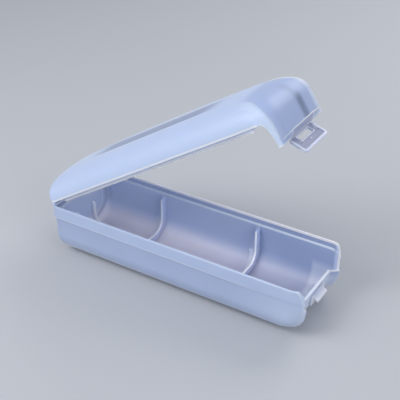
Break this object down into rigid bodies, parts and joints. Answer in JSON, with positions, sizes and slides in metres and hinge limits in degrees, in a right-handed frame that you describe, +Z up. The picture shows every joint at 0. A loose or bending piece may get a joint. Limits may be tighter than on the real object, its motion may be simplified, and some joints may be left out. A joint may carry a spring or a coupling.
{
  "type": "battery box",
  "caption": "Long pocket battery box of translucent plastic with a domed hinged lid, compartments and a slotted latch tab.",
  "frame": {"origin": "centre of the flat underside of the closed box, on the surface it stands on", "axes": "+X from the hinge end to the latch end, +Y across the box, +Z up"},
  "size_m": [0.1769, 0.056, 0.1357],
  "materials": {
    "tray_polypropylene": "satin, translucent",
    "rib_polypropylene": "satin, translucent",
    "lid_polypropylene": "satin, translucent",
    "latch_polypropylene": "satin, translucent",
    "hinge_polypropylene": "satin, translucent"
  },
  "bodies": {
    "tray": {"base_tray": "tray_polypropylene", "catch": "latch_polypropylene", "divider_front": "rib_polypropylene", "divider_rear": "rib_polypropylene", "hinge_flange_tray": "hinge_polypropylene", "hinge_strap": "hinge_polypropylene", "rear_rib_far": "rib_polypropylene", "rear_rib_near": "rib_polypropylene"},
    "lid": {"lid_shell": "lid_polypropylene", "lid_tongue_far": "lid_polypropylene", "lid_tongue_near": "lid_polypropylene", "hinge_flange_lid": "hinge_polypropylene"},
    "tab": {"latch_tab": "latch_polypropylene"}
  },
  "joints": [
    {"name": "lid_hinge", "type": "hinge", "parent": "tray", "child": "lid", "pos_m": [-0.0893, 0, 0.0342], "axis": [0, -1, 0], "range_deg": [-33, 147]},
    {"name": "latch_tab_hinge", "type": "hinge", "parent": "lid", "child": "tab", "pos_m": [0.06298, 0, 0.11533], "axis": [0, -1, 0], "range_deg": [-38, 52]}
  ]
}
